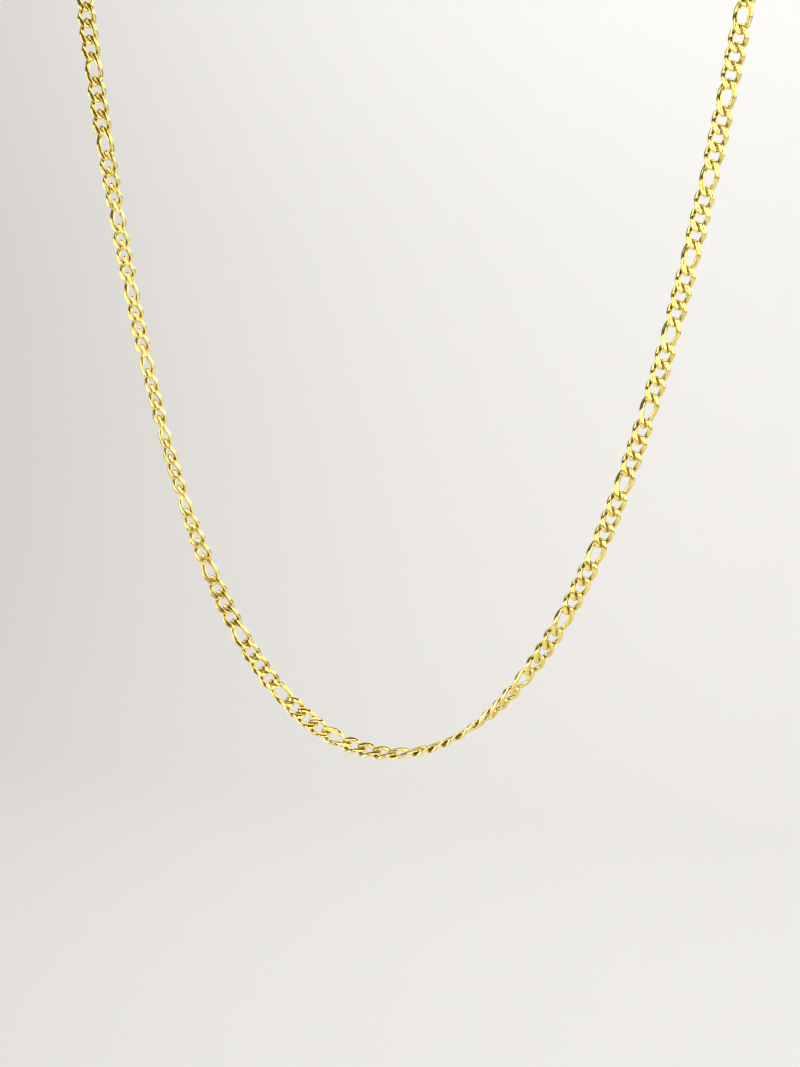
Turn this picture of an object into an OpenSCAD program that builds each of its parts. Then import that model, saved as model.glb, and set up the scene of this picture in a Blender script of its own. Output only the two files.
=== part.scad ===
// Figaro chain necklace: three short twisted links, then one long one, all the way round.
// Millimetres, +Z up, +Y toward the wearer's back, +X to the right in the front view.
// The front hangs as a catenary in an upright plane. At each shoulder the chain turns back
// through an arc, and a tilted half circle goes round the neck to the clasp at the nape.
// The origin is the middle of that neck circle.

/* [Wire] */
// Diameter of the round wire that the links are made of
wire_d = 0.82; // [0.76:0.01:0.84]
// Thickness of the chain over its two ground faces
chain_t = 1.2; // [1.1:0.01:1.6]
// Clearance between two wires where they hook
hook_gap = 0.12; // [0.1:0.01:0.16]

/* [Short links] */
// Width of the opening inside a short link
short_hole_w = 1.5; // [1.38:0.01:1.75]
// Length of the opening left in a short link between its neighbours' wires
short_open = 1.09; // [0.9:0.01:1.6]
// Number of short links between two long ones
shorts_in_group = 3; // [1:1:5]

/* [Long links] */
// Width of the opening inside a long link
long_hole_w = 1.48; // [1.3:0.01:1.75]
// Length of the opening left in a long link between its neighbours' wires
long_open = 2.52; // [1.8:0.01:4]

/* [Link form] */
// Angle by which each end of a link is twisted out of the flat
end_twist = 52; // [48:1:55]
// Length of the rounded part at each end of a link
end_len = 1.38; // [1.3:0.01:1.5]

/* [Chain] */
// Number of long links
long_links = 39; // [33:1:44]
// How far the chain has slid round, from the middle of the front to its middle long link
slide = 3.65; // [-6:0.05:6]

/* [Hang] */
// Radius of the bend at the lowest point of the front
hang_r = 20.9; // [16:0.1:25]
// Radius of the turn over each shoulder
shoulder_r = 21; // [15:0.5:30]
// Rise of the neck circle toward the nape, in degrees above level
neck_rise = 35; // [10:1:45]

/* [Jump rings] */
// Diameter of a jump ring's wire
ring_wire_d = 0.8; // [0.7:0.01:0.85]
// Inside diameter of a jump ring
ring_id = 3.2; // [3:0.05:4]

/* [Clasp] */
// Length of the clasp over its eye and hook
clasp_len = 14; // [12:0.1:18]
// Width of the clasp over its hook
clasp_w = 6.2; // [5.6:0.1:8]
// Thickness of the clasp
clasp_t = 1.2; // [1:0.05:1.4]
// Width of the bars round the clasp's hook and eye
clasp_wall = 1.1; // [1:0.05:1.2]
// Diameter of the clasp's eye
clasp_eye_d = 2.4; // [2.3:0.05:2.7]
// Clearance between the clasp and the jump rings
clasp_gap = 0.36; // [0.34:0.01:0.44]

/* [Hidden] */

// Roll of the link faces along the front: share of the front's half length, then degrees.
// A roll of 0 faces the front, and a positive one brings the inner edge forward.
roll_steps = [
    [-1.10,    0],
    [-0.98,   -8],
    [-0.86,    0],
    [-0.77,   17],
    [-0.69,   21],
    [-0.60,   28],
    [-0.51,   38],
    [-0.42,   34],
    [-0.32,    9],
    [-0.22,  -10],
    [-0.14,  -20],
    [-0.05,  -56],
    [ 0.04,  -85],
    [ 0.12, -100],
    [ 0.20, -131],
    [ 0.29, -149],
    [ 0.38, -160],
    [ 0.47, -157],
    [ 0.56, -153],
    [ 0.80, -162],
    [ 0.95, -167],
    [ 1.10, -180],
];

// Stations round a link, as angles on its rounded ends, and sides of its wire
stations = [0, 26, 78, 102, 154, 180, 206, 258, 282, 334];
wire_sides = 5;
// Squareness of a link's rounded ends: 2 is an ellipse
end_power = 2.6;
// How the twist builds up toward the ends: 1 is even
twist_power = 0.8;
ring_fn = 48;

group_size = shorts_in_group + 1;
short_pitch = 2 * wire_d + short_open;
long_pitch = 2 * wire_d + long_open;
group_pitch = shorts_in_group * short_pitch + long_pitch;
links = long_links * group_size + shorts_in_group;
chain_len = long_links * group_pitch + shorts_in_group * short_pitch;

// A jump ring stands nearly square to the link end that it hooks, which is twisted the other way
ring_roll = 62;
ring_pitch = ring_id - hook_gap;

// The flat clasp can't reach the crown of a round ring: it stays this much short of the joint
clasp_half_t = clasp_t / 2 / sin(ring_roll);
clasp_short = ring_pitch / 2 - sqrt(pow(ring_id / 2 - clasp_gap, 2) - pow(clasp_half_t, 2));
clasp_pitch = clasp_len - 2 * clasp_wall - 2 * clasp_short;
loop_len = chain_len + 2 * ring_pitch + clasp_pitch;
half_loop = loop_len / 2;

// Lengths and angles of the route, worked out so that the loop closes at the nape
turn = 90 - neck_rise;
shoulder_len = shoulder_r * turn * PI / 180;

function unit(v) = v / norm(v);
function arcsinh(x) = ln(x + sqrt(x * x + 1));
function mirrored(v) = [-v[0], v[1], v[2]];
function smooth(t) = t * t * (3 - 2 * t);

function front_point(s) = [hang_r * arcsinh(s / hang_r), 0, norm([hang_r, s]) - hang_r];
function front_dir(s) = [hang_r, 0, s] / norm([hang_r, s]);

// Outward lean left at the end of the shoulder's turn, and the neck circle's radius
function lean(s) = asin(cos(turn) * front_dir(s)[0]);
function shoulder_x(s) = front_point(s)[0] + shoulder_r * sin(turn) * front_dir(s)[0];
function neck_r(s) = shoulder_x(s) / cos(lean(s));
function half_len(s) = s + shoulder_len + neck_r(s) * (90 + lean(s)) * PI / 180;
function solve_front(low, high, tries) =
    let (mid = (low + high) / 2)
    tries == 0 ? mid
    : half_len(mid) > half_loop ? solve_front(low, mid, tries - 1)
    : solve_front(mid, high, tries - 1);

front_len = solve_front(0, half_loop, 40);
front_end = front_point(front_len);
front_end_dir = front_dir(front_len);
shoulder_end_s = front_len + shoulder_len;
shoulder_end = front_end + shoulder_r * (sin(turn) * front_end_dir + [0, 1 - cos(turn), 0]);
shoulder_end_face = sin(turn) * front_end_dir - [0, cos(turn), 0];
circle_r = neck_r(front_len);
circle_lean = lean(front_len);
circle_back = unit([0, sin(turn), cos(turn) * front_end_dir[2]]);
circle_up = cross([1, 0, 0], circle_back);
circle_mid = [0, shoulder_end[1], shoulder_end[2]] + circle_r * sin(circle_lean) * circle_back;

function spoke(angle) = [cos(angle), 0, 0] + sin(angle) * circle_back;
first_spoke = spoke(-circle_lean);
first_face = atan2(shoulder_end_face * first_spoke, shoulder_end_face * circle_up);

// Place, direction and face of the right half of the route, s along it from the lowest point
function front_part(s) = [front_point(s), front_dir(s), [0, -1, 0]];
function shoulder_part(s) =
    let (angle = (s - front_len) / shoulder_r * 180 / PI)
    [
        front_end + shoulder_r * (sin(angle) * front_end_dir + [0, 1 - cos(angle), 0]),
        cos(angle) * front_end_dir + [0, sin(angle), 0],
        sin(angle) * front_end_dir - [0, cos(angle), 0],
    ];
function neck_part(s) =
    let (
        angle = (s - shoulder_end_s) / circle_r * 180 / PI - circle_lean,
        share = (angle + circle_lean) / (90 + circle_lean),
        face = first_face + (90 - first_face) * smooth(share)
    )
    [
        circle_mid + circle_r * spoke(angle),
        cos(angle) * circle_back - [sin(angle), 0, 0],
        cos(face) * circle_up + sin(face) * spoke(angle),
    ];
function half_route(s) =
    s < front_len ? front_part(s)
    : s < shoulder_end_s ? shoulder_part(s)
    : neck_part(s);

// The whole route: s runs from the nape down the left, through the lowest point, up the right
function wrapped(s) = s > half_loop ? s - loop_len : s < -half_loop ? s + loop_len : s;
function route(s) =
    let (w = wrapped(s), part = half_route(abs(w)))
    w >= 0 ? [part[0] - circle_mid, part[1], part[2]]
    : [mirrored(part[0]) - circle_mid, -mirrored(part[1]), mirrored(part[2])];

// Frame of a piece that spans the route from a to b: its middle, then its three axes
function span_frame(a, b, roll) =
    let (
        from = route(a)[0],
        to = route(b)[0],
        along = unit(to - from),
        inward = unit(cross(route((a + b) / 2)[2], along)),
        face = cross(along, inward)
    )
    [
        (from + to) / 2,
        along,
        cos(roll) * inward + sin(roll) * face,
        cos(roll) * face - sin(roll) * inward,
    ];

// Where link number i starts, and how it is rolled
first_joint = slide - chain_len / 2;
function joint(i) =
    let (group = floor(i / group_size))
    first_joint + group * group_pitch + (i - group * group_size) * short_pitch;
function is_long(i) = i % group_size == shorts_in_group;
function roll_at(s) = lookup(s / front_len, roll_steps);

// One link about its own middle: x along it, y across its face, z out of its face
function signed_power(x, p) = sign(x) * pow(abs(x), p);
function link_mid_line(pitch, hole_w) =
    let (
        half = (pitch + wire_d + hook_gap) / 2,
        side = (hole_w + wire_d) / 2
    )
    [for (angle = stations)
        let (
            x = sign(cos(angle)) * (half - end_len) + end_len * signed_power(cos(angle), 2 / end_power),
            y = side * signed_power(sin(angle), 2 / end_power),
            twist = -end_twist * signed_power(x / half, twist_power)
        )
        [x, y * cos(twist), y * sin(twist)]];
function ground(p) = [p[0], p[1], max(-chain_t / 2, min(chain_t / 2, p[2]))];
function wire_ring(before, here, after) =
    let (
        along = unit(after - before),
        out = unit(here - (here * along) * along),
        side = cross(along, out)
    )
    [for (k = [0 : wire_sides - 1])
        let (angle = k * 360 / wire_sides)
        ground(here + wire_d / 2 * (cos(angle) * out + sin(angle) * side))];
function link_points(pitch, hole_w) =
    let (line = link_mid_line(pitch, hole_w), n = len(stations))
    [for (i = [0 : n - 1]) each wire_ring(line[(i + n - 1) % n], line[i], line[(i + 1) % n])];

short_points = link_points(short_pitch, short_hole_w);
long_points = link_points(long_pitch, long_hole_w);
link_size = len(stations) * wire_sides;

function placed(points, frame) =
    [for (p = points) frame[0] + p[0] * frame[1] + p[1] * frame[2] + p[2] * frame[3]];
function chain_points(first, last) =
    [for (i = [first : last])
        each placed(
            is_long(i) ? long_points : short_points,
            span_frame(joint(i), joint(i + 1), roll_at((joint(i) + joint(i + 1)) / 2))
        )];
function link_faces(start) =
    [for (i = [0 : len(stations) - 1], k = [0 : wire_sides - 1])
        let (
            here = start + i * wire_sides,
            there = start + (i + 1) % len(stations) * wire_sides,
            next = (k + 1) % wire_sides
        )
        each [
            [here + k, there + next, here + next],
            [here + k, there + k, there + next],
        ]];

module chain_run(first, last)
    polyhedron(
        points = chain_points(first, last),
        faces = [for (i = [0 : last - first]) each link_faces(i * link_size)]
    );

module in_frame(frame)
    multmatrix([
        [frame[1][0], frame[2][0], frame[3][0], frame[0][0]],
        [frame[1][1], frame[2][1], frame[3][1], frame[0][1]],
        [frame[1][2], frame[2][2], frame[3][2], frame[0][2]],
        [0, 0, 0, 1],
    ])
        children();

// The two halves of the chain meet at the middle long link
middle_link = floor(links / 2);
last_joint = joint(links);

module chain_left() color("gold") chain_run(0, middle_link);
module chain_right() color("gold") chain_run(middle_link + 1, links - 1);

module jump_ring()
    rotate_extrude($fn = ring_fn)
        translate([(ring_id + ring_wire_d) / 2, 0])
            circle(d = ring_wire_d, $fn = ring_fn);

module ring_left()
    color("gold")
        in_frame(span_frame(first_joint - ring_pitch, first_joint, -ring_roll))
            jump_ring();
module ring_right()
    color("gold")
        in_frame(span_frame(last_joint, last_joint + ring_pitch, ring_roll))
            jump_ring();

// The clasp is one flat closed hook: x along it, its eye toward ring_right
tail_r = clasp_eye_d / 2 + clasp_wall;
tail_x = tail_r - clasp_len / 2;
hook_r = clasp_w / 2;
hook_x = clasp_len / 2 - hook_r;
hook_tail_r = 0.8;
hook_tail_x = tail_x + tail_r + hook_tail_r;
arc_steps = 20;

// Outline round two circles on the x axis, the first one smaller and to the left
function teardrop(x1, r1, x2, r2) =
    let (half = 90 + asin((r2 - r1) / (x2 - x1)))
    concat(
        [for (k = [0 : arc_steps])
            let (angle = half * (2 * k / arc_steps - 1))
            [x2 + r2 * cos(angle), r2 * sin(angle)]],
        [for (k = [0 : arc_steps])
            let (angle = half + (360 - 2 * half) * k / arc_steps)
            [x1 + r1 * cos(angle), r1 * sin(angle)]]
    );

module clasp()
    color("gold")
        in_frame(span_frame(last_joint + ring_pitch, last_joint + ring_pitch + clasp_pitch, 0))
            translate([0, 0, -clasp_t / 2])
                linear_extrude(clasp_t)
                    difference() {
                        polygon(teardrop(tail_x, tail_r, hook_x, hook_r));
                        polygon(teardrop(hook_tail_x, hook_tail_r, hook_x, hook_r - clasp_wall));
                        translate([tail_x, 0]) circle(d = clasp_eye_d, $fn = ring_fn);
                    }

chain_left();
chain_right();
ring_left();
clasp();
ring_right();
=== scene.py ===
"""Dresses the packed figaro chain necklace: smooth twisted links, jump rings, clasp and a studio."""
import math

import bmesh
import bpy
import numpy as np
from bpy.props import FloatProperty, FloatVectorProperty, IntProperty, PointerProperty
from mathutils import Matrix, Vector
from mathutils.bvhtree import BVHTree


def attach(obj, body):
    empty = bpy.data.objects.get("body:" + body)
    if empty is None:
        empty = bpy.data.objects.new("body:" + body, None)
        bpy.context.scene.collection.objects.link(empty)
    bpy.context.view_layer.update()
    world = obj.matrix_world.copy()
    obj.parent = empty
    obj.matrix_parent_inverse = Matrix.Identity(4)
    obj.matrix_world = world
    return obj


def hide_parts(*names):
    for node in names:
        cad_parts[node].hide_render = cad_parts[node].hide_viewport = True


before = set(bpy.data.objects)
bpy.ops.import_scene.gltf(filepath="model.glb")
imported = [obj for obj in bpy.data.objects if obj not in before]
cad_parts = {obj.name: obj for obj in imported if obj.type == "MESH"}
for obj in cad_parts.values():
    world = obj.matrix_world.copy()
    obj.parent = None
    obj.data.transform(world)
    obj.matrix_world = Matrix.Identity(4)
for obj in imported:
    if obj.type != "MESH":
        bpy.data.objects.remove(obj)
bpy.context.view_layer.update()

bl_info = {
    "name": "Figaro chain necklace",
    "version": (1, 0, 0),
    "blender": (4, 5, 0),
    "location": "View3D > Sidebar > Necklace",
    "description": "Builds the links, jump rings, clasp and studio of a figaro chain necklace",
    "category": "Object",
}

MM = 0.001
# Height of the photograph in pixels
PHOTO_HEIGHT = 1067
# Gap below which two links count as touching
TOUCH = 1e-9
# Where two faces meet at more than this, their edge is drawn sharp
SHARP_EDGE = math.radians(40)
# Seed of the tone that each link has of its own
TONE_SEED = 7

# Roll of the link faces along the front: share of the front's half length, then degrees
ROLL_STEPS = (
    (-1.10, 0), (-0.98, -8), (-0.86, 0), (-0.77, 17), (-0.69, 21), (-0.60, 28),
    (-0.51, 38), (-0.42, 34), (-0.32, 9), (-0.22, -10), (-0.14, -20), (-0.05, -56),
    (0.04, -85), (0.12, -100), (0.20, -131), (0.29, -149), (0.38, -160), (0.47, -157),
    (0.56, -153), (0.80, -162), (0.95, -167), (1.10, -180),
)

# Softboxes round the chain: name, place from the aim, width and height in metres, power in watts
SOFTBOXES = (
    ("left_softbox", (-0.96, -0.08, -0.03), (0.24, 0.64), 1.7),
    ("left_inner", (-0.84, -0.47, -0.03), (0.2, 0.64), 1.2),
    ("left_strip", (-0.60, -0.77, 0.1), (0.2, 0.8), 0.6),
    ("front_strip", (0.02, -0.95, 0.08), (0.2, 0.8), 1.3),
    ("right_softbox", (0.36, -0.88, -0.01), (0.26, 0.66), 1.6),
    ("right_inner", (0.68, -0.66, -0.01), (0.22, 0.66), 1.4),
    ("right_strip", (0.88, -0.36, 0.1), (0.35, 0.9), 2.5),
    ("back_softbox", (0.75, 0.35, 0.40), (0.7, 0.8), 2.6),
    ("top_softbox", (0.0, -0.25, 0.85), (1.2, 0.6), 3.6),
    ("wall_wash", (0.0, 0.5, 1.0), (1.8, 0.6), 18.0),
)
# What the softboxes face, from the lowest link, and what the last one faces instead, from the aim
AIM = (0, 0, 0.07)
WALL_SPOT = (0, 1.7, 0.5)
# Camera from the lowest link, found from the spacing of the long links in the photograph
CAMERA_PLACE = (0.08775, -0.29895, 0.08308)


def number_prop(label, note, default):
    return FloatProperty(name=label, description=note, default=default)


def length_prop(label, note, default):
    return FloatProperty(name=label, description=note, default=default, unit="LENGTH", precision=6)


def angle_prop(label, note, degrees):
    angle = math.radians(degrees)
    return FloatProperty(name=label, description=note, default=angle, subtype="ANGLE")


def colour_prop(label, note, default):
    return FloatVectorProperty(
        name=label, description=note, default=default, subtype="COLOR", min=0, max=1)


class FigaroLinks(bpy.types.PropertyGroup):
    """Sizes of one short and one long link"""
    wire: length_prop("Wire", "Width of a link's wire across its opening", 0.00082)
    wire_depth: length_prop("Wire depth", "Depth of a link's wire out of its face, unpressed", 0.00086)
    press_level: length_prop("Press level", "Height over the middle that a pressed face nears", 0.00075)
    hook_gap: length_prop("Hook gap", "Clearance between two wires where they hook", 0.00012)
    solid_wire: length_prop("Wire of the solids", "Wire that the pitches are worked out from", 0.00082)
    short_hole: length_prop("Short hole", "Width of the opening inside a short link", 0.00154)
    short_open: length_prop("Short opening", "Length left open in a short link", 0.00109)
    long_hole: length_prop("Long hole", "Width of the opening inside a long link", 0.0014)
    long_open: length_prop("Long opening", "Length left open in a long link", 0.00252)
    end_twist: angle_prop("End twist", "Angle by which each end is twisted out of the flat", 52)
    short_round: length_prop("Short rounding", "Length rounded at each end of a short link", 0.0014)
    long_round: length_prop("Long rounding", "Length rounded at each end of a long link", 0.0021)
    short_power: number_prop("Short squareness", "2 is an ellipse", 2.5)
    long_power: number_prop("Long squareness", "2 is an ellipse", 2.4)
    press_power: number_prop("Press edge", "Sharpness of the pressed faces' edges", 2.0)
    press_spread: number_prop("Press spread", "How far pressing widens the wire", 0.1)
    # Painted shade: links darken each other's colour where they face each other closer than this gap
    shade_reach: length_prop("Crevice reach", "Gap up to which facing links darken each other", 0.0006)
    stations: IntProperty(name="Stations", description="Rings of points round a short link", default=66)
    sides: IntProperty(name="Sides", description="Points round the wire", default=24)


class FigaroHang(bpy.types.PropertyGroup):
    """How the chain hangs"""
    long_links: IntProperty(name="Long links", description="Number of long links", default=39)
    shorts: IntProperty(name="Short links", description="Short links between two long ones", default=3)
    slide: length_prop("Slide", "How far the chain has slid round from the middle", 0.00365)
    hang_radius: length_prop("Hang radius", "Radius of the bend at the lowest point", 0.0209)
    shoulder_radius: length_prop("Shoulder radius", "Radius of the turn over each shoulder", 0.021)
    neck_rise: angle_prop("Neck rise", "Rise of the neck circle toward the nape", 35)


class FigaroFindings(bpy.types.PropertyGroup):
    """Sizes of the jump rings and the clasp"""
    ring_wire: length_prop("Ring wire", "Diameter of a jump ring's wire", 0.0008)
    ring_inside: length_prop("Ring inside", "Inside diameter of a jump ring", 0.0032)
    ring_roll: angle_prop("Ring roll", "Roll of the jump rings out of the chain's face", 62)
    ring_split: length_prop("Ring split", "Width of the fine split where a ring was closed", 0.00004)
    clasp_len: length_prop("Clasp length", "Length of the clasp over its eye and hook", 0.014)
    clasp_width: length_prop("Clasp width", "Width of the clasp over its hook", 0.0062)
    clasp_thickness: length_prop("Clasp thickness", "Thickness of the clasp", 0.0012)
    clasp_wall: length_prop("Clasp wall", "Width of the bars round the hook and the eye", 0.0011)
    clasp_eye: length_prop("Clasp eye", "Diameter of the clasp's eye", 0.0024)
    clasp_gap: length_prop("Clasp clearance", "Clearance between the clasp and a ring", 0.00036)
    clasp_round: length_prop("Clasp rounding", "Radius worn on the clasp's edges", 0.00032)


class FigaroGold(bpy.types.PropertyGroup):
    """Colours and polish of the gold"""
    gold: colour_prop("Gold", "Reflected colour of the polished metal", (0.98, 0.86, 0.295))
    pale: colour_prop("Pale gold", "Colour where the plating is palest", (1.0, 0.95, 0.47))
    # Painted reflection: the pressed faces are coloured a warmer, more orange gold, standing in for the
    # darker reflection they show
    pressed_reflection: colour_prop("Warm gold", "Colour of the pressed faces", (0.98, 0.81, 0.24))
    # Painted reflection: the dark colour of streaks painted along the middle of the pressed faces, standing
    # in for the darker reflection lines along the wire
    drawn_and_reflection_streak: colour_prop("Drawn gold", "Colour of the soft lines along the wire", (0.78, 0.50, 0.09))
    # Painted shade: the dark colour painted where links face each other closely, in place of the shade down
    # in the crevices
    shade_colour: colour_prop("Deep gold", "Colour down in the crevices", (0.24, 0.115, 0.012))
    polish: number_prop("Roughness", "Roughness of the polished wire", 0.06)
    pressed_haze: number_prop("Pressed haze", "Roughness added on the pressed faces", 0.03)
    draw_depth: length_prop("Drawing lines", "Depth of the soft lines drawn along the wire", 0.000014)


class FigaroStudio(bpy.types.PropertyGroup):
    """Floor, light and camera"""
    floor_colour: colour_prop("Floor", "Colour of the floor and backdrop", (0.88, 0.88, 0.875))
    floor_drop: length_prop("Floor drop", "Height of the lowest link above the floor", 0.38)
    lens_px: number_prop("Lens", "Focal length in pixels of the photograph", 1900)
    yaw: angle_prop("Yaw", "Turn of the camera to the left", 16.014)
    pitch: angle_prop("Pitch", "How far the camera looks down", 8.326)
    tilt: angle_prop("Tilt", "Roll of the camera about its own axis", 1.224)


GROUPS = {
    "figaro_links": FigaroLinks,
    "figaro_hang": FigaroHang,
    "figaro_findings": FigaroFindings,
    "figaro_gold": FigaroGold,
    "figaro_studio": FigaroStudio,
}


def unit(v):
    return v / np.linalg.norm(v)


class Route:
    """The loop in the row frame, in metres; s is the way along it from the lowest point, + to the right."""

    def __init__(self, scene):
        links, hang, parts = scene.figaro_links, scene.figaro_hang, scene.figaro_findings
        self.short_pitch = 2 * links.solid_wire + links.short_open
        self.long_pitch = 2 * links.solid_wire + links.long_open
        self.shorts = hang.shorts
        self.group_pitch = hang.shorts * self.short_pitch + self.long_pitch
        self.count = hang.long_links * (hang.shorts + 1) + hang.shorts
        chain_len = hang.long_links * self.group_pitch + hang.shorts * self.short_pitch
        self.first = hang.slide - chain_len / 2
        self.last = hang.slide + chain_len / 2
        self.ring_pitch = parts.ring_inside - links.hook_gap
        # The clasp's bars cross the rolled rings, and stay the clearance short of their wire
        half_t = parts.clasp_thickness / 2 / math.sin(parts.ring_roll)
        reach = math.sqrt((parts.ring_inside / 2 - parts.clasp_gap) ** 2 - half_t ** 2)
        clasp_short = self.ring_pitch / 2 - reach
        self.clasp_pitch = parts.clasp_len - 2 * parts.clasp_wall - 2 * clasp_short
        self.loop = chain_len + 2 * self.ring_pitch + self.clasp_pitch
        self.hang_r, self.shoulder_r = hang.hang_radius, hang.shoulder_radius
        self.turn = math.pi / 2 - hang.neck_rise
        self.solve()

    def front_point(self, s):
        x = self.hang_r * math.asinh(s / self.hang_r)
        return np.array([x, 0, math.hypot(self.hang_r, s) - self.hang_r])

    def front_dir(self, s):
        return np.array([self.hang_r, 0, s]) / math.hypot(self.hang_r, s)

    def lean_at(self, s):
        return math.asin(math.cos(self.turn) * self.front_dir(s)[0])

    def circle_at(self, s):
        x = self.front_point(s)[0] + self.shoulder_r * math.sin(self.turn) * self.front_dir(s)[0]
        return x / math.cos(self.lean_at(s))

    def solve(self):
        """Finds the front's length that closes the loop at the nape, then the fixed parts of the route."""
        low, high = 0.0, self.loop / 2
        for _ in range(50):
            s = (low + high) / 2
            half = s + self.shoulder_r * self.turn + self.circle_at(s) * (math.pi / 2 + self.lean_at(s))
            low, high = (low, s) if half > self.loop / 2 else (s, high)
        self.front = s
        self.end, self.end_dir = self.front_point(s), self.front_dir(s)
        self.shoulder_s = s + self.shoulder_r * self.turn
        shoulder_end, _, end_face = self.shoulder_point(self.turn)
        self.circle_r, self.lean = self.circle_at(s), self.lean_at(s)
        self.back = unit(np.array([0, math.sin(self.turn), math.cos(self.turn) * self.end_dir[2]]))
        self.up = np.cross([1, 0, 0], self.back)
        self.middle = np.array([0, *shoulder_end[1:]]) + self.circle_r * math.sin(self.lean) * self.back
        first_spoke = self.spoke(-self.lean)
        self.first_face = math.atan2(end_face @ first_spoke, end_face @ self.up)

    def shoulder_point(self, a):
        """Place, direction and face where the shoulder has turned back by the angle a."""
        back = np.array([0, 1.0, 0])
        place = self.end + self.shoulder_r * (math.sin(a) * self.end_dir + (1 - math.cos(a)) * back)
        along = math.cos(a) * self.end_dir + math.sin(a) * back
        return place, along, math.sin(a) * self.end_dir - math.cos(a) * back

    def spoke(self, angle):
        return np.array([math.cos(angle), 0, 0]) + math.sin(angle) * self.back

    def half_route(self, s):
        """Place, direction and face on the right half: the front, the shoulder, then the neck circle."""
        if s < self.front:
            return self.front_point(s), self.front_dir(s), np.array([0, -1.0, 0])
        if s < self.shoulder_s:
            return self.shoulder_point((s - self.front) / self.shoulder_r)
        a = (s - self.shoulder_s) / self.circle_r - self.lean
        share = (a + self.lean) / (math.pi / 2 + self.lean)
        face = self.first_face + (math.pi / 2 - self.first_face) * share * share * (3 - 2 * share)
        along = math.cos(a) * self.back - np.array([math.sin(a), 0, 0])
        return (self.middle + self.circle_r * self.spoke(a), along,
                math.cos(face) * self.up + math.sin(face) * self.spoke(a))

    def at(self, s):
        half = self.loop / 2
        s = s - self.loop if s > half else s + self.loop if s < -half else s
        place, along, face = self.half_route(abs(s))
        if s < 0:
            flip = np.array([-1, 1, 1])
            place, along, face = place * flip, -along * flip, face * flip
        return place - self.middle, along, face

    def span(self, a, b, roll):
        """Middle of the span from a to b, and its axes: along it, across the face, out of the face."""
        start, stop = self.at(a)[0], self.at(b)[0]
        along = unit(stop - start)
        inward = unit(np.cross(self.at((a + b) / 2)[2], along))
        face = np.cross(along, inward)
        across = math.cos(roll) * inward + math.sin(roll) * face
        out = math.cos(roll) * face - math.sin(roll) * inward
        return (start + stop) / 2, np.array([along, across, out])

    def joint(self, i):
        group, rest = divmod(i, self.shorts + 1)
        return self.first + group * self.group_pitch + rest * self.short_pitch

    def is_long(self, i):
        return i % (self.shorts + 1) == self.shorts

    def link_span(self, i):
        a, b = self.joint(i), self.joint(i + 1)
        shares, degrees = zip(*ROLL_STEPS)
        return self.span(a, b, math.radians(np.interp((a + b) / 2 / self.front, shares, degrees)))


def link_line(links, pitch, hole, round_len, power, count):
    """Closed centreline of one link at even steps: x along it, y across, z out of its face."""
    half = (pitch + links.solid_wire + links.hook_gap) / 2
    side = (hole + links.wire) / 2
    flat = half - round_len
    end_steps, flat_steps = 1500, 300
    # A quarter of the oval, then all four of them
    t = np.linspace(0, math.pi / 2, end_steps)
    x = np.concatenate([flat + round_len * np.cos(t) ** (2 / power), np.linspace(flat, 0, flat_steps)[1:]])
    y = np.concatenate([side * np.sin(t) ** (2 / power), np.full(flat_steps - 1, side)])
    x = np.concatenate([x, -x[-2::-1], -x[1:], x[-2:0:-1]])
    y = np.concatenate([y, y[-2::-1], -y[1:], -y[-2:0:-1]])
    share = x / half
    # The twist eases off toward the link's ends
    ease = 0.22
    twist = -links.end_twist * ((1 + ease) * share - ease * share ** 3)
    line = np.stack([x, y * np.cos(twist), y * np.sin(twist)], 1)
    closed = np.vstack([line, line[:1]])
    run = np.concatenate([[0], np.cumsum(np.linalg.norm(np.diff(closed, axis=0), axis=1))])
    marks = np.linspace(0, run[-1], count, endpoint=False)
    return np.stack([np.interp(marks, run, closed[:, k]) for k in range(3)], 1)


def swept_wire(line, width, depth, sides):
    """Points, quads and grain of an oval wire along a closed line, its width across the opening.

    The grain is each point's place round the wire and, in shorter steps, along it, to draw noise out.
    """
    along = np.roll(line, -1, 0) - np.roll(line, 1, 0)
    along /= np.linalg.norm(along, axis=1)[:, None]
    out = line - (line * along).sum(1)[:, None] * along
    out /= np.linalg.norm(out, axis=1)[:, None]
    side = np.cross(along, out)
    angle = np.arange(sides) * 2 * math.pi / sides
    rings = (line[:, None] + width / 2 * np.cos(angle)[None, :, None] * out[:, None]
             + depth / 2 * np.sin(angle)[None, :, None] * side[:, None])
    n = len(line)
    i, k = np.meshgrid(np.arange(n), np.arange(sides), indexing="ij")
    j, m = (i + 1) % n, (k + 1) % sides
    quads = np.stack([i * sides + k, i * sides + m, j * sides + m, j * sides + k], -1).reshape(-1, 4)
    # Length plus slanted width stands in for the way along the wire, so that no seam shows
    slant, along_step = 1.7, 0.3
    run = np.repeat(line[:, 0] + slant * line[:, 1], sides) / MM
    grain = np.stack([np.tile(np.cos(angle), n), np.tile(np.sin(angle), n), along_step * run], 1)
    return rings.reshape(-1, 3), quads, grain


def pressed_link(links, line):
    """One link pressed on its two faces: points in metres, quads, grain, and how hard each is pressed."""
    points, quads, grain = swept_wire(line, links.wire, links.wire_depth, links.sides)
    # Share of the height pressed away at which a point counts as fully pressed
    full_press = 0.25
    power = links.press_power
    ratio = (1 + (np.abs(points[:, 2]) / links.press_level) ** power) ** (-1 / power)
    centre = np.repeat(line, links.sides, axis=0)
    spread = 1 + links.press_spread * (1 - ratio)
    points[:, :2] = centre[:, :2] + (points[:, :2] - centre[:, :2]) * spread[:, None]
    points[:, 2] *= ratio
    return points, quads, grain, np.clip((1 - ratio) / full_press, 0, 1)


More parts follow.
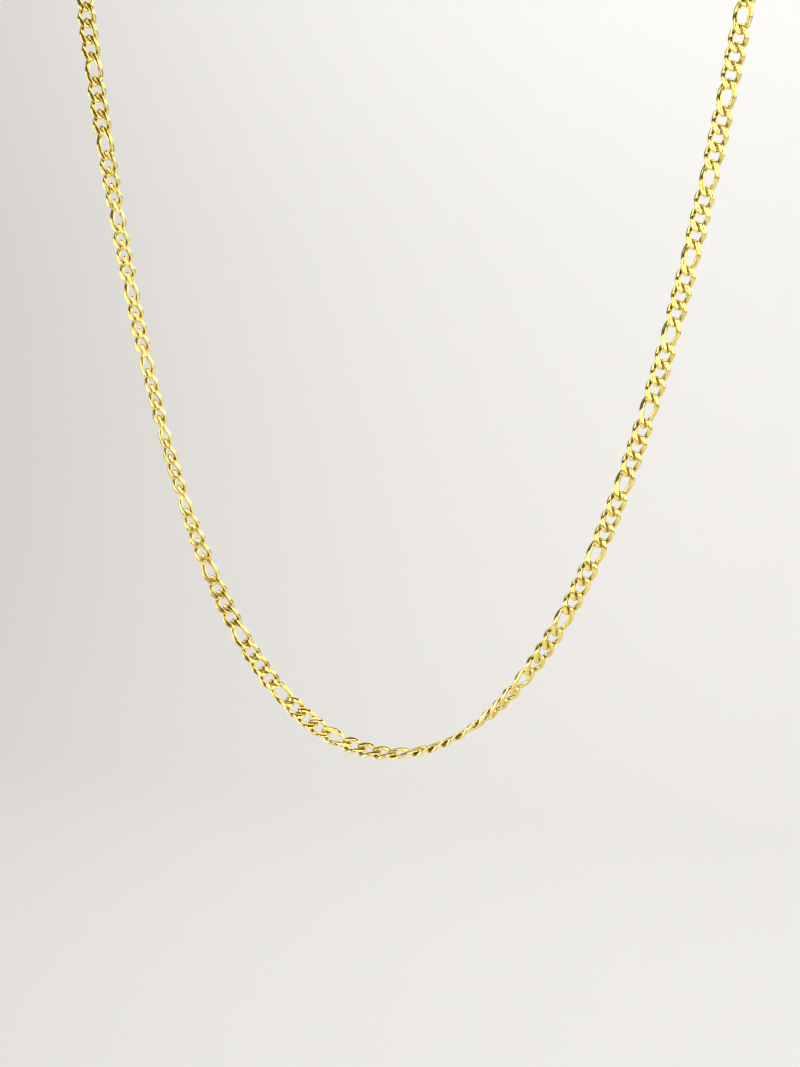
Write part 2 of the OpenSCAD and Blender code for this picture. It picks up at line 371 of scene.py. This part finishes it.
def shade_between_links(links, points, quads, neighbour, shift):
    """How closely each point faces the neighbours, which lie the same way, shifted along the chain: the
    share of painted shade there.
    """
    faces = points[quads]
    normal = np.cross(faces[:, 2] - faces[:, 0], faces[:, 3] - faces[:, 1])
    outward = np.zeros_like(points)
    for corner in range(4):
        np.add.at(outward, quads[:, corner], normal)
    outward /= np.linalg.norm(outward, axis=1)[:, None]
    depth = np.zeros(len(points))
    for side in (-shift, shift):
        places = neighbour[0] + (side, 0, 0)
        tree = BVHTree.FromPolygons([tuple(p) for p in places], neighbour[1].tolist())
        for k, point in enumerate(points):
            near = tree.find_nearest(Vector(point), links.shade_reach)[0]
            if near is not None:
                gap = np.array(near) - point
                reach = max(np.linalg.norm(gap), TOUCH)
                facing = max(outward[k] @ gap / reach, 0)
                depth[k] = max(depth[k], facing * (1 - reach / links.shade_reach))
    return depth


def new_object(name, mesh, material):
    mesh.materials.append(material)
    piece = bpy.data.objects.new(name, mesh)
    bpy.context.scene.collection.objects.link(piece)
    return piece


def dress(piece, slot, *nodes):
    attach(piece, "root")
    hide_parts(*nodes)


def build_links(name, route, pattern, numbers, gold, cad_node):
    """One mesh that holds a copy of the pattern at each of the links numbered."""
    points, quads, grain, pressed, crevice_shade = pattern
    placed = []
    for i in numbers:
        middle, axes = route.link_span(i)
        placed.append(points @ axes + middle)
    n = len(numbers)
    corners = (quads[None] + np.arange(n)[:, None, None] * len(points)).ravel()
    mesh = bpy.data.meshes.new(name)
    mesh.vertices.add(n * len(points))
    mesh.vertices.foreach_set("co", np.concatenate(placed).astype(np.float32).ravel())
    mesh.loops.add(len(corners))
    mesh.loops.foreach_set("vertex_index", corners.astype(np.int32))
    mesh.polygons.add(n * len(quads))
    mesh.polygons.foreach_set("loop_start", np.arange(0, len(corners), 4, dtype=np.int32))
    mesh.update(calc_edges=True)
    mesh.validate()
    mesh.shade_smooth()
    tones = np.random.default_rng(TONE_SEED).random(route.count)[numbers]
    # The crevice share is painted shade, darkening the colour where links face each other closely
    for key, values in (("pressed", np.tile(pressed, n)), ("crevice_shade", np.tile(crevice_shade, n)),
                        ("link_tone", np.repeat(tones, len(points)))):
        mesh.attributes.new(key, "FLOAT", "POINT").data.foreach_set("value", values.astype(np.float32))
    # Each link's grain starts further on, so that no two look the same
    apart = (0, 0, 3.1)
    grains = grain[None] + np.array(numbers)[:, None, None] * apart
    layer = mesh.attributes.new("grain", "FLOAT_VECTOR", "POINT")
    layer.data.foreach_set("vector", grains.astype(np.float32).ravel())
    dress(new_object(name, mesh, gold), "chain", cad_node)


def feed(tree, socket, value):
    """Sets a node's input to a value, or links it from another node's output."""
    if isinstance(value, bpy.types.NodeSocket):
        tree.links.new(value, socket)
    else:
        socket.default_value = value


def node(tree, kind, place, **inputs):
    made = tree.nodes.new(kind)
    made.location = place
    for key, value in inputs.items():
        feed(tree, made.inputs[key.replace("_", " ")], value)
    return made


def math_node(tree, place, operation, *inputs):
    made = node(tree, "ShaderNodeMath", place)
    made.operation = operation
    for socket, value in zip(made.inputs, inputs):
        feed(tree, socket, value)
    return made.outputs[0]


def colour_mix(tree, place, share, one, two):
    """Colour that goes from the first to the second as the share goes from 0 to 1."""
    mix = node(tree, "ShaderNodeMix", place)
    mix.data_type = "RGBA"
    for key, value in (("Factor", share), ("A", one), ("B", two)):
        feed(tree, mix.inputs[key], value)
    return mix.outputs["Result"]


def attribute(tree, place, name, output="Fac"):
    made = node(tree, "ShaderNodeAttribute", place)
    made.attribute_name = name
    return made.outputs[output]


def gold_finish(name, gold, chain=False):
    """Polished plated gold with a drifting tone and fine scratches; on the chain, a painted warmer
    reflection on the pressed faces, painted dark reflection streaks along them, and painted shade in the
    crevices.
    """
    # The polish at its keenest and dullest, the share of a link's own tone, and the scratches in metres
    keenest, dullest, tone_share, scratch_depth = 0.75, 1.45, 0.35, 0.0000012
    material = bpy.data.materials.new(name)
    material.use_nodes = True
    tree = material.node_tree
    shader = tree.nodes["Principled BSDF"]
    shader.inputs["Metallic"].default_value = 1
    spot = node(tree, "ShaderNodeTexCoord", (-1400, 0)).outputs["Object"]

    drift = node(tree, "ShaderNodeTexNoise", (-1150, 300), Vector=spot, Scale=900, Detail=3,
                 Roughness=0.5)
    tone = node(tree, "ShaderNodeMapRange", (-1000, 150), Value=drift.outputs["Fac"],
                From_Min=0.35, From_Max=0.7, To_Min=0.1, To_Max=0.75).outputs["Result"]
    haze = node(tree, "ShaderNodeTexNoise", (-1150, -450), Vector=spot, Scale=4200, Detail=4,
                Roughness=0.6)
    rough = node(tree, "ShaderNodeMapRange", (-850, -450), Value=haze.outputs["Fac"],
                 From_Min=0.3, From_Max=0.75,
                 To_Min=gold.polish * keenest, To_Max=gold.polish * dullest).outputs["Result"]
    if chain:
        own_tone = attribute(tree, (-1150, 550), "link_tone")
        tone = math_node(tree, (-950, 500), "MULTIPLY_ADD", own_tone, tone_share, tone)
        pressed = attribute(tree, (-1150, -150), "pressed")
        rough = math_node(tree, (-600, -350), "MULTIPLY_ADD", pressed, gold.pressed_haze, rough)
    colour = colour_mix(tree, (-850, 300), tone, (*gold.gold, 1), (*gold.pale, 1))
    if chain:
        lines, streak_share = drawn_lines_and_streaks(tree)
        layers = (
            # Painted warmer reflection on the pressed faces
            (pressed, gold.pressed_reflection),
            # Painted dark reflection streaks along the middle of the pressed faces
            (streak_share, gold.drawn_and_reflection_streak),
            # Painted shade in the crevices
            (attribute(tree, (-1150, -300), "crevice_shade"), gold.shade_colour),
        )
        for step, (share, finish) in enumerate(layers):
            colour = colour_mix(tree, (-750 + 180 * step, 200), share, colour, (*finish, 1))
    feed(tree, shader.inputs["Base Color"], colour)
    feed(tree, shader.inputs["Roughness"], rough)

    stretch = node(tree, "ShaderNodeMapping", (-1150, -750), Vector=spot, Rotation=(0.3, 0.9, 0.5),
                   Scale=(2600, 9000, 2600))
    scratch = node(tree, "ShaderNodeTexNoise", (-850, -750), Vector=stretch.outputs["Vector"],
                   Scale=1, Detail=2, Roughness=0.55)
    bump = node(tree, "ShaderNodeBump", (-550, -600), Strength=1, Distance=scratch_depth,
                Height=scratch.outputs["Fac"])
    if chain:
        drawn_and_reflection_streak = node(tree, "ShaderNodeBump", (-700, -900), Strength=1, Distance=gold.draw_depth,
                     Height=lines)
        feed(tree, bump.inputs["Normal"], drawn_and_reflection_streak.outputs["Normal"])
    feed(tree, shader.inputs["Normal"], bump.outputs["Normal"])
    return material


def drawn_lines_and_streaks(tree):
    """Noise stretched along the wire, and the share of it that colours the middle of the wire's faces as a
    painted dark reflection streak.
    """
    grain = attribute(tree, (-1600, -1000), "grain", "Vector")
    noise = node(tree, "ShaderNodeTexNoise", (-1400, -1000), Vector=grain, Scale=1.8, Detail=2,
                 Roughness=0.5)
    lines = noise.outputs["Fac"]
    streak = node(tree, "ShaderNodeMapRange", (-1200, -1000), Value=lines, From_Min=0.38, From_Max=0.6,
                  To_Max=0.9)
    split = node(tree, "ShaderNodeSeparateXYZ", (-1400, -1250), Vector=grain)
    height = math_node(tree, (-1200, -1250), "ABSOLUTE", split.outputs["Y"])
    middle = node(tree, "ShaderNodeMapRange", (-1000, -1250), Value=height, From_Min=0.75, From_Max=1)
    middle.interpolation_type = "SMOOTHSTEP"
    # The share returned second is the painted reflection streak, kept to the middle of the pressed faces
    return lines, math_node(tree, (-800, -1150), "MULTIPLY", streak.outputs["Result"],
                            middle.outputs["Result"])


class BuildPiece:
    """What every operator of the necklace shares"""
    bl_options = {"REGISTER", "UNDO"}

    def execute(self, context):
        self.build(context.scene)
        return {"FINISHED"}


class NECKLACE_OT_short_links(BuildPiece, bpy.types.Operator):
    """Adds the short links, a group between every two long ones"""
    bl_idname = "necklace.short_links"
    bl_label = "Short links"

    def build(self, scene):
        links, route = scene.figaro_links, Route(scene)
        link = short_link(links, route)
        # Painted shade where neighbouring short links face each other closely
        crevice_shade = shade_between_links(links, *link[:2], link, route.short_pitch)
        add_links("short_links", route, (*link, crevice_shade), scene.figaro_gold, False)


class NECKLACE_OT_long_links(BuildPiece, bpy.types.Operator):
    """Adds the long links"""
    bl_idname = "necklace.long_links"
    bl_label = "Long links"

    def build(self, scene):
        links, route = scene.figaro_links, Route(scene)
        link = long_link(links, route)
        shift = (route.short_pitch + route.long_pitch) / 2
        # Painted shade where the long link faces its short neighbours closely
        crevice_shade = shade_between_links(links, *link[:2], short_link(links, route), shift)
        add_links("long_links", route, (*link, crevice_shade), scene.figaro_gold, True)


def short_link(links, route):
    return pressed_link(links, link_line(links, route.short_pitch, links.short_hole, links.short_round,
                                         links.short_power, links.stations))


def long_link(links, route):
    # How many more stations a long link has than a short one
    longer = 1.3
    return pressed_link(links, link_line(links, route.long_pitch, links.long_hole, links.long_round,
                                         links.long_power, round(links.stations * longer)))


def add_links(name, route, pattern, gold, long_ones):
    middle = route.count // 2
    material = gold_finish(name + "_gold", gold, chain=True)
    halves = (
        ("left", range(0, middle + 1), "chain_left"),
        ("right", range(middle + 1, route.count), "chain_right"),
    )
    for side, numbers, cad_node in halves:
        numbers = [i for i in numbers if route.is_long(i) == long_ones]
        build_links(f"{name}_{side}", route, pattern, numbers, material, cad_node)


def move_to_span(mesh, middle, axes):
    """Moves a mesh, built about its own middle with x along and z out of its face, to a span's place."""
    turn = Matrix([list(row) for row in np.array(axes).T]).to_4x4()
    mesh.transform(Matrix.Translation(Vector(middle)) @ turn)
    mesh.update()


class NECKLACE_OT_jump_rings(BuildPiece, bpy.types.Operator):
    """Adds the two jump rings, each a bent wire with a fine split"""
    bl_idname = "necklace.jump_rings"
    bl_label = "Jump rings"

    def build(self, scene):
        route, parts = Route(scene), scene.figaro_findings
        material = gold_finish("jump_ring_gold", scene.figaro_gold)
        spans = {
            "ring_left": (route.first - route.ring_pitch, route.first, -parts.ring_roll),
            "ring_right": (route.last, route.last + route.ring_pitch, parts.ring_roll),
        }
        for name, span in spans.items():
            mesh = split_ring(name, parts)
            move_to_span(mesh, *route.span(*span))
            dress(new_object("jump_" + name, mesh, material), "rings", name)


def split_ring(name, parts, stations=96, sides=24):
    """Mesh of a wire bent round until its two square-cut ends almost meet."""
    radius, wire = (parts.ring_inside + parts.ring_wire) / 2, parts.ring_wire / 2
    gap = parts.ring_split / radius
    work = bmesh.new()
    rings = []
    for i in range(stations + 1):
        a = math.pi / 2 + gap / 2 + (2 * math.pi - gap) * i / stations
        ring = []
        for k in range(sides):
            b = 2 * math.pi * k / sides
            r = radius + wire * math.cos(b)
            ring.append(work.verts.new((r * math.cos(a), r * math.sin(a), wire * math.sin(b))))
        rings.append(ring)
    for one, two in zip(rings, rings[1:]):
        for k in range(sides):
            m = (k + 1) % sides
            work.faces.new((one[k], two[k], two[m], one[m]))
    work.faces.new(rings[0])
    work.faces.new(rings[-1][::-1])
    bmesh.ops.recalc_face_normals(work, faces=work.faces[:])
    mesh = bpy.data.meshes.new(name)
    work.to_mesh(mesh)
    work.free()
    mesh.shade_smooth()
    mesh.set_sharp_from_angle(angle=SHARP_EDGE)
    return mesh


class NECKLACE_OT_clasp(BuildPiece, bpy.types.Operator):
    """Adds the plain closed clasp"""
    bl_idname = "necklace.clasp"
    bl_label = "Clasp"

    def build(self, scene):
        route, parts = Route(scene), scene.figaro_findings
        tail_r = parts.clasp_eye / 2 + parts.clasp_wall
        tail_x = tail_r - parts.clasp_len / 2
        hook_r = parts.clasp_width / 2
        hook_x = parts.clasp_len / 2 - hook_r
        throat_r = 0.8 * MM
        outlines = (
            teardrop(tail_x, tail_r, hook_x, hook_r),
            teardrop(tail_x + tail_r + throat_r, throat_r, hook_x, hook_r - parts.clasp_wall),
            circle(tail_x, parts.clasp_eye / 2),
        )
        mesh = rounded_plate("clasp", outlines, parts.clasp_thickness, parts.clasp_round)
        start = route.last + route.ring_pitch
        move_to_span(mesh, *route.span(start, start + route.clasp_pitch, 0))
        material = gold_finish("clasp_gold", scene.figaro_gold)
        dress(new_object("plain_clasp", mesh, material), "clasp", "clasp")


def teardrop(x1, r1, x2, r2, steps=40):
    """Outline round a small circle at x1 and a bigger one at x2."""
    half = math.pi / 2 + math.asin((r2 - r1) / (x2 - x1))
    big = [(x2 + r2 * math.cos(a), r2 * math.sin(a)) for a in np.linspace(-half, half, steps)]
    rest = np.linspace(half, 2 * math.pi - half, steps)
    return big + [(x1 + r1 * math.cos(a), r1 * math.sin(a)) for a in rest]


def circle(x, r, steps=48):
    angles = np.linspace(0, 2 * math.pi, steps, endpoint=False)
    return [(x + r * math.cos(a), r * math.sin(a)) for a in angles]


def rounded_plate(name, outlines, thickness, rounding):
    """Flat plate with holes, all its edges rounded, as the mesh of a filled curve drawn in millimetres."""
    curve = bpy.data.curves.new(name, "CURVE")
    curve.dimensions = "2D"
    curve.fill_mode = "BOTH"
    for points in outlines:
        spline = curve.splines.new("POLY")
        spline.points.add(len(points) - 1)
        for point, (x, y) in zip(spline.points, points):
            point.co = (x / MM, y / MM, 0, 1)
        spline.use_cyclic_u = True
    curve.extrude = (thickness / 2 - rounding) / MM
    curve.bevel_depth = rounding / MM
    curve.bevel_resolution = 4
    curve.offset = -rounding / MM
    holder = bpy.data.objects.new(name, curve)
    bpy.context.scene.collection.objects.link(holder)
    bpy.context.view_layer.update()
    mesh = bpy.data.meshes.new_from_object(holder)
    bpy.data.objects.remove(holder)
    mesh.transform(Matrix.Scale(MM, 4))
    mesh.materials.clear()
    mesh.shade_smooth()
    mesh.set_sharp_from_angle(angle=SHARP_EDGE)
    return mesh


class NECKLACE_OT_studio(BuildPiece, bpy.types.Operator):
    """Adds the pale floor, the soft lights and the camera"""
    bl_idname = "necklace.studio"
    bl_label = "Studio"

    def build(self, scene):
        studio, route = scene.figaro_studio, Route(scene)
        lowest = Vector(route.at(0)[0])
        add_floor(studio, lowest.z - studio.floor_drop)
        add_lights(scene, lowest)
        add_camera(scene, studio, lowest)


def add_floor(studio, level):
    """Adds the floor, which sweeps up into a plain wall behind."""
    material = bpy.data.materials.new("pale_floor")
    material.use_nodes = True
    tree = material.node_tree
    shader = tree.nodes["Principled BSDF"]
    shader.inputs["Base Color"].default_value = (*studio.floor_colour, 1)
    shader.inputs["Roughness"].default_value = 0.85
    spot = node(tree, "ShaderNodeTexCoord", (-900, 0)).outputs["Object"]
    grain = node(tree, "ShaderNodeTexNoise", (-700, 0), Vector=spot, Scale=500, Detail=4)
    bump = node(tree, "ShaderNodeBump", (-400, 0), Strength=0.3, Distance=0.0001,
                Height=grain.outputs["Fac"])
    feed(tree, shader.inputs["Normal"], bump.outputs["Normal"])
    work = bmesh.new()
    front, back, bend, top, half_width = -2.6, 1.2, 0.5, 2.6, 3.6
    profile = [(front, 0), (back, 0)]
    angles = np.linspace(0, math.pi / 2, 24)[1:]
    profile += [(back + bend * math.sin(a), bend * (1 - math.cos(a))) for a in angles]
    profile.append((back + bend, top))
    places = np.linspace(-half_width, half_width, 3)
    rows = [[work.verts.new((x, y, level + z)) for y, z in profile] for x in places]
    for one, two in zip(rows, rows[1:]):
        for k in range(len(profile) - 1):
            work.faces.new((one[k], two[k], two[k + 1], one[k + 1]))
    mesh = bpy.data.meshes.new("studio_floor")
    work.to_mesh(mesh)
    work.free()
    mesh.shade_smooth()
    floor = new_object("studio_floor", mesh, material)


def add_lights(scene, lowest):
    """Adds dim warm air, and soft lamps with dark gaps between them for the gold to mirror."""
    world = bpy.data.worlds.new("studio_air")
    world.use_nodes = True
    air = world.node_tree.nodes["Background"]
    air.inputs["Color"].default_value = (1.0, 0.84, 0.6, 1)
    air.inputs["Strength"].default_value = 0.15
    scene.world = world
    aim = lowest + Vector(AIM)
    for name, place, size, power in SOFTBOXES:
        light = bpy.data.lights.new(name, "AREA")
        light.shape = "RECTANGLE"
        light.size, light.size_y = size
        light.energy = power
        lamp = bpy.data.objects.new(name, light)
        scene.collection.objects.link(lamp)
        lamp.location = aim + Vector(place)
        target = aim + Vector(WALL_SPOT) if name == "wall_wash" else aim
        lamp.rotation_euler = (target - lamp.location).to_track_quat("-Z", "Y").to_euler()


def add_camera(scene, studio, lowest):
    """Adds the camera at the photograph's place and angle."""
    camera = bpy.data.cameras.new("photo_camera")
    camera.sensor_fit = "VERTICAL"
    camera.sensor_height = 24
    camera.lens = studio.lens_px / PHOTO_HEIGHT * camera.sensor_height
    camera.clip_start = 0.01
    holder = bpy.data.objects.new("photo_camera", camera)
    scene.collection.objects.link(holder)
    yaw, pitch, tilt = studio.yaw, studio.pitch, studio.tilt
    level = math.cos(pitch)
    ahead = Vector((-math.sin(yaw) * level, math.cos(yaw) * level, -math.sin(pitch)))
    right = Vector((math.cos(yaw), math.sin(yaw), 0))
    up = right.cross(ahead)
    right, up = (math.cos(tilt) * right + math.sin(tilt) * up,
                 math.cos(tilt) * up - math.sin(tilt) * right)
    turn = Matrix((right, up, -ahead)).transposed().to_4x4()
    holder.matrix_world = Matrix.Translation(lowest + Vector(CAMERA_PLACE)) @ turn
    scene.camera = holder
    scene.view_settings.view_transform = "Standard"


class NECKLACE_PT_panel(bpy.types.Panel):
    """Lists the necklace's pieces and their sizes"""
    bl_idname = "NECKLACE_PT_panel"
    bl_label = "Figaro chain necklace"
    bl_space_type = "VIEW_3D"
    bl_region_type = "UI"
    bl_category = "Necklace"

    def draw(self, context):
        for operator in OPERATORS:
            self.layout.operator(operator.bl_idname)
        for name, group in GROUPS.items():
            box = self.layout.box()
            box.label(text=group.__doc__)
            for key in group.__annotations__:
                box.prop(getattr(context.scene, name), key)


OPERATORS = (
    NECKLACE_OT_short_links,
    NECKLACE_OT_long_links,
    NECKLACE_OT_jump_rings,
    NECKLACE_OT_clasp,
    NECKLACE_OT_studio,
)


def register():
    for name, group in GROUPS.items():
        bpy.utils.register_class(group)
        setattr(bpy.types.Scene, name, PointerProperty(type=group))
    for cls in (*OPERATORS, NECKLACE_PT_panel):
        bpy.utils.register_class(cls)


def unregister():
    for cls in (NECKLACE_PT_panel, *reversed(OPERATORS)):
        bpy.utils.unregister_class(cls)
    for name, group in reversed(GROUPS.items()):
        delattr(bpy.types.Scene, name)
        bpy.utils.unregister_class(group)


def main():
    register()
    bpy.ops.necklace.short_links()
    bpy.ops.necklace.long_links()
    bpy.ops.necklace.jump_rings()
    bpy.ops.necklace.clasp()
    bpy.ops.necklace.studio()


if __name__ == "__main__":
    main()
